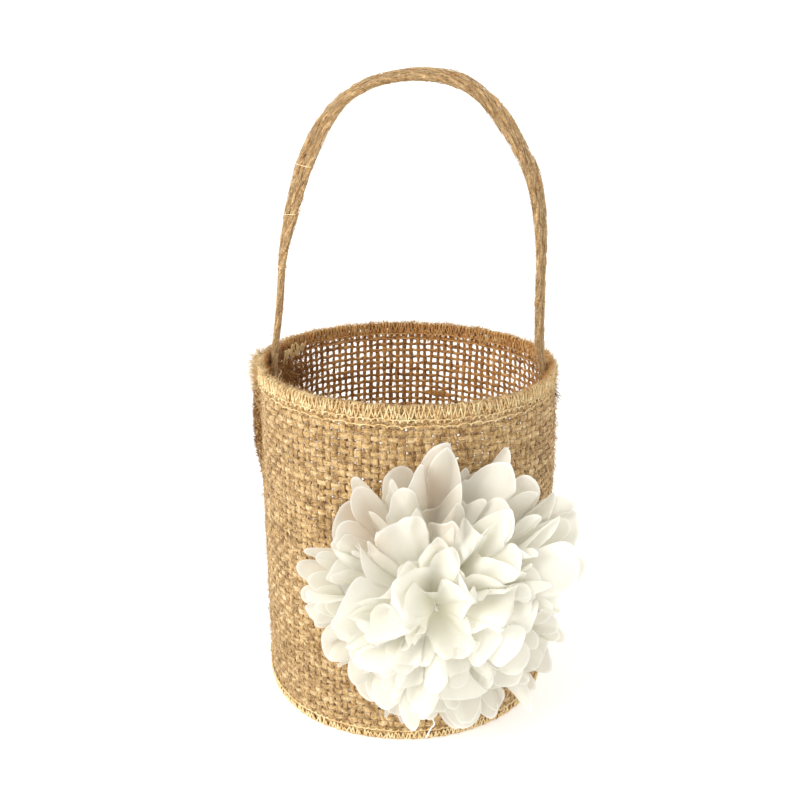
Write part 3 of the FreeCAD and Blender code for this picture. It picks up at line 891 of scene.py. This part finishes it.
def flower_round(k, previous):
    size, petals, lift, gather, bend, middle, turn, ruffles, seed = ROUNDS[k]
    r = np.random.default_rng(seed * 7 + 1)
    psi, beta, alpha = meander(lift, gather, ruffles, seed)
    n_psi = petals * 18
    ps = np.arange(n_psi) / n_psi * TAU
    beta = np.interp(ps, np.append(psi, TAU), np.append(beta, beta[0]))
    alpha = np.interp(ps, np.append(psi, TAU), np.append(alpha, TAU)) + turn * TAU / petals + seed
    # petals: where this angle lies in its petal, -1 to 1, with uneven widths
    edges = np.arange(petals + 1) + np.concatenate([[0], np.clip(r.normal(0, 0.17, petals - 1), -0.36, 0.36), [0]])
    edges[-1] = petals
    pos = ps / TAU * petals
    which = np.clip(np.searchsorted(edges, pos, side="right") - 1, 0, petals - 1)
    t = (pos - edges[which]) / (edges[which + 1] - edges[which]) * 2 - 1
    peak = r.normal(0, 0.12, petals)[which]
    tt = np.clip(np.abs(t - peak * (1 - t ** 2)), 0, 1)
    tip = np.clip(1 - tt ** 2.2, 0, 1) ** 0.55
    notch = 0.79 + r.normal(0, 0.025, petals)[which]
    deg = np.degrees(alpha) % 360
    want = np.interp(deg, np.append(REACH[:, 0], REACH[0, 0] + 360), np.append(REACH[:, 1], REACH[0, 1]), period=360)
    if k > 3:
        want = 0.5 * want + 0.5 * 45.0
    open_at = [30.0 + 24.0 * (((deg - c + 180) % 360 - 180) / w) ** 2 for c, w in ((92.0, 13.0), (129.0, 9.0))]
    room = np.minimum(np.minimum(*open_at), 60.0)
    want = want * (1 - 0.036 * k * np.clip(-np.sin(np.radians(deg)), 0, 1))
    length = (np.minimum(size * want, room) if k > 1 else size * want) * (1 + r.normal(0, 0.02 if k < 2 else 0.05, petals)[which])
    outer = length * (notch + (1 - notch) * tip)
    n_r = 34
    rho = np.linspace(0, 1, n_r) ** 0.9
    r0 = 0.7
    rad = r0 + (outer[None] - r0) * rho[:, None]                 # (n_r, n_psi)
    share = rad / length[None]
    wild = min(1.0, 0.45 + 0.12 * k)
    curl = r.normal(-2, 18 * wild, petals)[which]
    cup = r.normal(0, 10 * wild, petals)[which]
    twist = r.normal(0, 13 * wild, petals)[which]
    crease = r.normal(0, 8 * wild, petals)[which]
    sway = r.normal(0, 0.08 * wild * (0.35 if k < 3 else 1.0), petals)
    bend_now = bend * (0.62 - 1.25 * share)
    ang = np.degrees(beta)[None] + bend_now
    tipw = np.clip((share - 0.62) / 0.38, 0, 1) ** 2
    ang = ang + tipw * (curl * (1 - 0.5 * t ** 2) + 8)[None]
    ang = ang + np.clip(share * 1.4 - 0.3, 0, 1) * (cup * (t ** 2 - 0.35) + twist * t + crease * (np.abs(t) - 0.5))[None]
    for f, amp in ((2, 6.0), (3, 5.0), (5, 4.0), (9, 2.5)):
        a1, a2 = r.uniform(0, TAU, 2)
        ang = ang + wild * amp * np.sin(f * alpha[None] + a1 + 3.0 * share) * np.sin(3.2 * share + a2)
    ang = np.radians(np.clip(ang, -38, 96))
    dr = np.diff(rad, axis=0, prepend=rad[:1] * 0)
    h = middle + np.cumsum(dr * np.sin(ang), axis=0)
    flat = np.cumsum(dr * np.cos(ang), axis=0)
    lean = np.zeros(n_psi)
    for f, amp in ((4, 0.05), (7, 0.05), (11, 0.03)):
        lean = lean + amp * (0.5 if k < 3 else 1.0) * np.sin(f * ps + r.uniform(0, TAU))
    lean = lean + np.interp(pos, np.arange(petals) + 0.5, sway, period=petals)
    al = alpha[None] + lean[None] * share ** 1.5
    x, y = flat * np.cos(al), flat * np.sin(al)
    # small crumples
    for f, amp in ((0.23, 0.35), (0.55, 0.16), (1.1, 0.05)):
        a1, a2, a3 = r.uniform(0, TAU, 3)
        w = np.clip(share * 1.5, 0, 1)
        h = h + w * amp * np.sin(f * x * math.cos(a1) + f * y * math.sin(a1) + a2) * np.sin(f * 1.3 * (x * math.sin(a1) - y * math.cos(a1)) + a3)
    # each round lies on the ones behind it
    for _ in range(2):
        floor = sample(previous, x, y) + 0.25
        lifted = np.maximum(h, floor)
        d = lifted - h
        for _ in range(3):
            d = np.maximum(d, 0.25 * (np.roll(d, 1, 1) + np.roll(d, -1, 1) + np.vstack([d[:1], d[:-1]]) + np.vstack([d[1:], d[-1:]])))
        h = h + d
    return x, y, h, t, share, rad, outer, n_r, n_psi


GRID, CELL = 260, 0.5


def sample(field, x, y):
    i = np.clip(((x + GRID * CELL / 2) / CELL), 0, GRID - 2)
    j = np.clip(((y + GRID * CELL / 2) / CELL), 0, GRID - 2)
    i0, j0 = i.astype(int), j.astype(int)
    fi, fj = i - i0, j - j0
    return (field[i0, j0] * (1 - fi) * (1 - fj) + field[i0 + 1, j0] * fi * (1 - fj) + field[i0, j0 + 1] * (1 - fi) * fj + field[i0 + 1, j0 + 1] * fi * fj)


def drape_floor():
    """Height of the wall and the felt under the flower, as seen from its front."""
    c = (np.arange(GRID) - GRID / 2) * CELL
    X, Y = np.meshgrid(c, c, indexing="ij")
    r = R_BASE + (R_TOP - R_BASE) * (FLOWER_Z + Y) / HEIGHT + 0.9
    wall = np.sqrt(np.maximum(r ** 2 - X ** 2, 0))
    return np.where(np.abs(X) < 44, wall, 18.0)


def stamp(field, x, y, h):
    out = field.copy()
    # fill between the mesh's points by sampling its cells more finely
    for fa in (0.0, 0.34, 0.67):
        for fb in (0.0, 0.34, 0.67):
            def mixed(v):
                a = v[:-1] * (1 - fa) + v[1:] * fa
                return a * (1 - fb) + np.roll(a, -1, 1) * fb
            X, Y, H = mixed(x), mixed(y), mixed(h)
            i = np.clip(np.round((X + GRID * CELL / 2) / CELL).astype(int), 0, GRID - 1)
            j = np.clip(np.round((Y + GRID * CELL / 2) / CELL).astype(int), 0, GRID - 1)
            np.maximum.at(out, (i.ravel(), j.ravel()), H.ravel())
    return out


def soften(field):
    """Close pinholes, then smooth a little."""
    f = field.copy()
    for di in (-1, 0, 1):
        for dj in (-1, 0, 1):
            f = np.maximum(f, np.roll(np.roll(field, di, 0), dj, 1))
    for _ in range(2):
        f = (f * 4 + np.roll(f, 1, 0) + np.roll(f, -1, 0) + np.roll(f, 1, 1) + np.roll(f, -1, 1)) / 8
    return f


def flower():
    field = drape_floor()
    objs = []
    areas = []
    for k in range(len(ROUNDS)):
        x, y, h, t, share, rad, outer, n_r, n_psi = flower_round(k, field)
        field = soften(stamp(field, x, y, h))
        co = F_OUT * h[..., None] + F_X * x[..., None] + F_Z * (y + FLOWER_Z)[..., None]
        i, j = np.meshgrid(np.arange(n_r - 1), np.arange(n_psi), indexing="ij")
        nj = (j + 1) % n_psi
        quads = np.stack([i * n_psi + j, i * n_psi + nj, (i + 1) * n_psi + nj, (i + 1) * n_psi + j], -1).reshape(-1, 4)
        # the flat cut as its UV: each round is a disc
        psi = np.arange(n_psi + 1) / n_psi * TAU
        rr = np.concatenate([rad, rad[:, :1]], 1) / rad.max() * 0.49
        U, W = 0.5 + rr * np.cos(psi), 0.5 + rr * np.sin(psi)
        uv = np.stack([np.stack([U[i, j], W[i, j]], -1), np.stack([U[i, j + 1], W[i, j + 1]], -1),
                       np.stack([U[i + 1, j + 1], W[i + 1, j + 1]], -1), np.stack([U[i + 1, j], W[i + 1, j]], -1)], 2).reshape(-1, 2)
        edge = np.clip(1 - (outer[None] - rad) / 0.55, 0, 1)
        turn_deg = np.degrees(np.arctan2(y, x)) % 360
        reach = np.hypot(x, y)
        # where the painted fold shade lies: two patches above the middle, at 90 and 129 degrees, 34 mm out
        fold_painted_shade = sum(np.exp(-(((turn_deg - c + 180) % 360 - 180) / w) ** 2 - ((reach - m) / 8.0) ** 2) for c, w, m in ((90.0, 9.0, 34.0), (129.0, 8.0, 34.0)))
        # painted shade by round (outer rounds darker, inner rounds lighter), and a painted yellow tint of bounced light
        # in the middle
        obj = add_mesh("flower_petals_%d" % (k + 1), co.reshape(-1, 3), quads, uv, chiffon,
                       {"edge": edge, "fold_painted_shade": np.clip(fold_painted_shade, 0, 1), "round_painted_light": np.full(x.shape, min(1.0, k / 5.0)), "centre_painted_shade": np.exp(-(reach / 5.0) ** 2)})
        step = TAU / n_psi
        # the round is cut wider than it reaches, by what its gathered middle takes up
        cut = ROUNDS[k][3]
        areas.append((obj, cut * float(0.5 * (rad[-1] ** 2).sum() * step), math.sqrt(cut) * float(2 * rad.max())))
        objs.append(obj)
    return objs, areas


def centre_thread():
    r = np.random.default_rng(9)
    paths = []
    for k in range(3):
        a = r.uniform(0, TAU)
        d = np.array([math.cos(a), math.sin(a)])
        pts = [(-2.2 * d[0], -2.2 * d[1], 60.6), (-0.9 * d[0], -0.9 * d[1], 62.2), (0.9 * d[0], 0.9 * d[1], 62.4), (2.2 * d[0], 2.2 * d[1], 60.4)]
        p = catmull(np.array(pts), 6)
        paths.append(F_OUT * p[:, 2:3] + F_X * p[:, 0:1] + F_Z * (p[:, 1:2] + FLOWER_Z))
    return threads("flower_stitch", paths, [np.full(len(p), 0.22) for p in paths], 6, white_mat, [0.9] * 3)


def loose_thread():
    pts = np.array([(2.0, -41.0, 51.6), (1.6, -45.6, 51.8), (2.4, -48.4, 52.0), (1.4, -50.2, 51.6), (0.4, -52.2, 51.8), (-0.2, -54.0, 51.4)])
    p = catmull(pts, 8)
    path = F_OUT * p[:, 2:3] + F_X * p[:, 0:1] + F_Z * (p[:, 1:2] + FLOWER_Z)
    return threads("flower_loose_thread", [path], [np.full(len(p), 0.26)], 6, white_mat, [0.9])


# ---------------------------------------------------------------- build
def ride(obj, body="basket"):
    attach(obj, body)
    return obj


warp = ride(warp_yarns())
wefts = [ride(o) for o in weft_yarns()]
fuzz = ride(wall_fuzz())
surface = ride(wall_fibres())
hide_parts("wall_panel")

RIM_R = R_TOP - CLOTH / 2
rim_band = Band(rim_apex, up, ring_face(RIM_R), CLOTH, 11)
rim = ride(overlock("rim_overlock", rim_band, TAU * RIM_R, True, 4.1, 4.2,
                    [(4.7, 2.15, 0.60, 0.42, 0.25), (6.6, 4.1, 1.0, 0.34, 0.2)], 0.21, overlock_mat, wind=3))
rim_fuzz = ride(edge_fuzz("rim_fuzz", rim_band, TAU * RIM_R, 4200, fuzz_mat, (0.4, 1.7), 71, radius=0.07))
r = np.random.default_rng(72)
m = 4200
bs, bq = r.uniform(0, TAU * RIM_R, m), r.uniform(-7.0, 7.0, m)
lean = np.where(r.uniform(size=m) < 0.5, 1.0, -1.0) * r.uniform(0.2, 1.2, m)
root = rim_band.at(bs, bq, 0.34 + 0 * bs)
ahead = rim_band.at(bs + lean, bq + np.sign(bq + 1e-6) * -1.0, 0.55 + 0 * bs)
band_fibres = ride(hairs("rim_fibres", root, ahead - root, r.uniform(1.2, 3.2, m), 0.075, overlock_mat, curl=0.12, seed=73))
# painted shade on the rim stitching's inside face, where the basket's inside is in shadow
for o, depth in ((rim, 0.75), (rim_fuzz, 0.8), (band_fibres, 0.85)):
    shade_inside(o, RIM_R - 0.2, depth)
rim, rim_fuzz
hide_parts("rim_overlock_stitch")

base_band = Band(base_apex, down, ring_face(46.0), CLOTH * 2 + 0.2, 12)
foot = ride(overlock("base_overlock", base_band, TAU * 46.0, True, 3.75, 3.6,
                     [(4.6, 2.3, 0.62, 0.4, 0.3)], 0.25, overlock_mat, wind=3))
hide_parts("base_overlock_stitch")

seam_band = Band(seam_apex, seam_out, seam_face, CLOTH * 2 + 0.3, 13)
seam = ride(overlock("side_seam_overlock", seam_band, 103.0, False, 3.6, 1.9, [], 0.2, overlock_mat, wind=2))
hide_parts("side_seam_overlock_stitch")
# dark fibres along the side seam; the 72 % bunched round z 84 mm are painted shadow in the gap between the fin and the
# wall
r = np.random.default_rng(15)
m = 3000
top_share = r.uniform(size=m) < 0.72
sz = np.where(top_share, r.normal(84, 8, m), r.uniform(2, 100, m))
sz = np.where((r.uniform(size=m) < 0.25) & ~top_share, np.round(sz / 17.0) * 17.0 + r.normal(0, 1.2, m), sz)
sz = np.clip(sz, 0, 106)
tuft_root = seam_band.at(sz, r.normal(0, 1.5, m), 0.15 * np.ones(m))
tuft_dir = SEAM_R * r.uniform(0.4, 1.0, (m, 1)) + SEAM_T * r.normal(0, 0.4, (m, 1)) + np.array([0, 0, 1.0]) * r.normal(0, 0.5, (m, 1))
tufts = ride(hairs("side_seam_fuzz", tuft_root, tuft_dir, r.uniform(0.5, 1.7, m), 0.11, dark_fuzz_painted_shadow_mat, seed=16))
# pale fibre ends where the seam meets the rim
m = 1500
a_th = SEAM + r.normal(0, 0.05, m)
a_z = np.clip(r.normal(111.0, 2.6, m), 104.0, 115.5)
a_r = r_mid(a_z) + CLOTH / 2 + np.interp(a_z, *SEAM_PROUD) * np.exp(-((a_th - SEAM) / 0.05) ** 2) + 0.2
a_root = np.stack([a_r * np.cos(a_th), a_r * np.sin(a_th), a_z], -1)
a_dir = SEAM_R * r.uniform(0.3, 1.0, (m, 1)) + SEAM_T * r.normal(0, 0.5, (m, 1)) + np.array([0, 0, 1.0]) * r.normal(0.35, 0.5, (m, 1))
seam_top = ride(hairs("side_seam_top_fuzz", a_root, a_dir, r.uniform(0.9, 3.3, m), 0.10, overlock_mat, segs=6, curl=0.9, seed=17))
m = 1300
e_s = r.uniform(0, 103, m)
e_root = seam_band.at(e_s, r.normal(0, 0.8, m), 0.25 * np.ones(m))
e_dir = SEAM_R * r.uniform(0.5, 1.0, (m, 1)) + SEAM_T * r.normal(0, 0.5, (m, 1)) + np.array([0, 0, 1.0]) * r.normal(0, 0.6, (m, 1))
seam_edge = ride(hairs("side_seam_edge_fuzz", e_root, e_dir, r.uniform(0.4, 1.5, m), 0.08, fuzz_mat, segs=5, curl=0.8, seed=18))
# painted shade on the side seam's overlock, strongest from about z 82 to 102 mm where the fin stands off the wall
shade_at = seam.data.attributes.new("inner", "FLOAT", "POINT")
sco = np.empty(len(seam.data.vertices) * 3, np.float32)
seam.data.vertices.foreach_get("co", sco)
sco = sco.reshape(-1, 3) * 1000
shade_at.data.foreach_set("value", (0.95 * np.exp(-((sco[:, 2] - 92.0) / 11.0) ** 4)).astype(np.float32))

bottom = [ride(o) for o in base_weave()]
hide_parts("base_disc")

strap, strap_fuzz, cross, lying = handle()
for o in (strap, strap_fuzz, cross, lying):
    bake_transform(o)
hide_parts("handle_twine_front", "handle_twine_middle", "handle_twine_back", "handle_end_left", "handle_end_right")
def fray(name, side, count, seed, mat, spread, middle):
    """Fibres spread over the wall's inside face near a strap end: the frayed end itself, and in one use a dark patch of
    painted shadow.
    """
    r = np.random.default_rng(seed)
    th = (math.pi if side < 0 else 0.0) + side * np.abs(r.normal(0, spread, count)) * np.where(r.uniform(size=count) < 0.8, 1.0, -0.5)
    z = np.clip(r.normal(middle, 5.5, count), 90.0, 114.5)
    rr = r_mid(z) + shape_shift(th, z) - 0.95 - r.uniform(0, 0.5, count)
    root = np.stack([rr * np.cos(th), rr * np.sin(th), z], -1)
    tang = np.stack([-np.sin(th), np.cos(th), 0 * th], -1)
    d = tang * r.normal(0, 0.6, (count, 1)) + np.array([0, 0, -1.0]) * r.uniform(0.2, 1.0, (count, 1)) - root * 0.002
    return hairs(name, root, d, r.uniform(2.0, 6.5, count), 0.14, mat, segs=5, curl=0.22, seed=seed + 1)


# the third set, dark fibres high on the right, is painted shadow in the gap between the strap's right end and the wall
frays = [ride(fray("handle_fray_left", -1, 3400, 301, fray_mat, 0.24, 103.0)), ride(fray("handle_fray_right", 1, 700, 303, fray_mat, 0.24, 103.0)),
         ride(fray("handle_painted_shadow_fibres", 1, 900, 305, dark_fuzz_painted_shadow_mat, 0.09, 111.0))]
tack_left, tack_right = ride(tack("handle_stitches_left", -1)), ride(tack("handle_stitches_right", 1))
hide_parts("handle_tack_left")
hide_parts("handle_tack_right")
tack_left, tack_right

petals, areas = flower()
for k, o in enumerate(petals):
    ride(o)
    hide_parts("petal_layer_%d" % (k + 1))
for o, area, d in areas:
    d = d / 1000
stitch = ride(centre_thread())
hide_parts("flower_center_stitch")
tail = ride(loose_thread())
for node, mat in (("flower_felt_backing", felt_mat), ("flower_glue_pad", glue_mat)):
    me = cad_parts[node].data
    me.materials.clear()
    me.materials.append(mat)

# ---------------------------------------------------------------- floor, light, camera
def glow_material(name, color, emission):
    mat, n, l = new_material(name)
    out = n.new("ShaderNodeOutputMaterial")
    p = n.new("ShaderNodeBsdfPrincipled")
    p.inputs["Base Color"].default_value = (*color, 1)
    p.inputs["Roughness"].default_value = 0.9
    p.inputs["Specular IOR Level"].default_value = 0.0
    p.inputs["Emission Color"].default_value = (1.0, 0.998, 0.985, 1)
    p.inputs["Emission Strength"].default_value = emission
    l.new(p.outputs["BSDF"], out.inputs["Surface"])
    return mat


floor_mat = glow_material("floor", (0.80, 0.795, 0.78), 0.46)
wall_mat = glow_material("backdrop", (0.6, 0.6, 0.6), 0.75)
bpy.ops.mesh.primitive_plane_add(size=8, location=(0, 4.0, 2.0), rotation=(math.pi / 2, 0, 0))
backdrop = bpy.context.object
backdrop.name = "backdrop"
backdrop.data.materials.append(wall_mat)
bpy.ops.mesh.primitive_plane_add(size=8.5, location=(0, 0, 0))
floor = bpy.context.object
floor.name = "floor"
floor.data.materials.append(floor_mat)

world = bpy.data.worlds.new("studio")
bpy.context.scene.world = world
world.use_nodes = True
bg = world.node_tree.nodes["Background"]
bg.inputs["Color"].default_value = (1.0, 0.995, 0.985, 1)
bg.inputs["Strength"].default_value = 0.82


def area_light(name, location, target, size, power, color=(1, 1, 1)):
    data = bpy.data.lights.new(name, "AREA")
    data.shape = "DISK"
    data.size = size
    data.energy = power
    data.color = color
    obj = bpy.data.objects.new(name, data)
    bpy.context.scene.collection.objects.link(obj)
    obj.location = location
    d = Vector(target) - Vector(location)
    obj.rotation_euler = d.to_track_quat("-Z", "Y").to_euler()
    return obj


area_light("key", (-0.72, -0.80, 0.62), (0, 0, 0.08), 0.7, 9.8, (1.0, 0.985, 0.95))
area_light("fill", (0.8, -0.6, 0.45), (0, 0, 0.1), 0.8, 0.6, (1.0, 0.99, 0.97))

cam_data = bpy.data.cameras.new("camera")
cam_data.sensor_width = 36.0
cam_data.lens = 1012.12 * 36.0 / 800.0
cam_data.clip_start, cam_data.clip_end = 0.01, 20.0
cam = bpy.data.objects.new("camera", cam_data)
bpy.context.scene.collection.objects.link(cam)
place = Vector((0.03986, -0.32317, 0.21203))
aim = Vector((-0.00264, -0.00035, 0.10145))
q = (aim - place).to_track_quat("-Z", "Y")
cam.rotation_mode = "QUATERNION"
cam.location = place
cam.rotation_quaternion = q @ Matrix.Rotation(0.0117, 4, "Z").to_quaternion()
bpy.context.scene.camera = cam

scene = bpy.context.scene
scene.view_settings.view_transform = "Standard"
scene.view_settings.exposure = 0.0
scene.cycles.transparent_max_bounces = 24 if hasattr(scene, "cycles") else 24
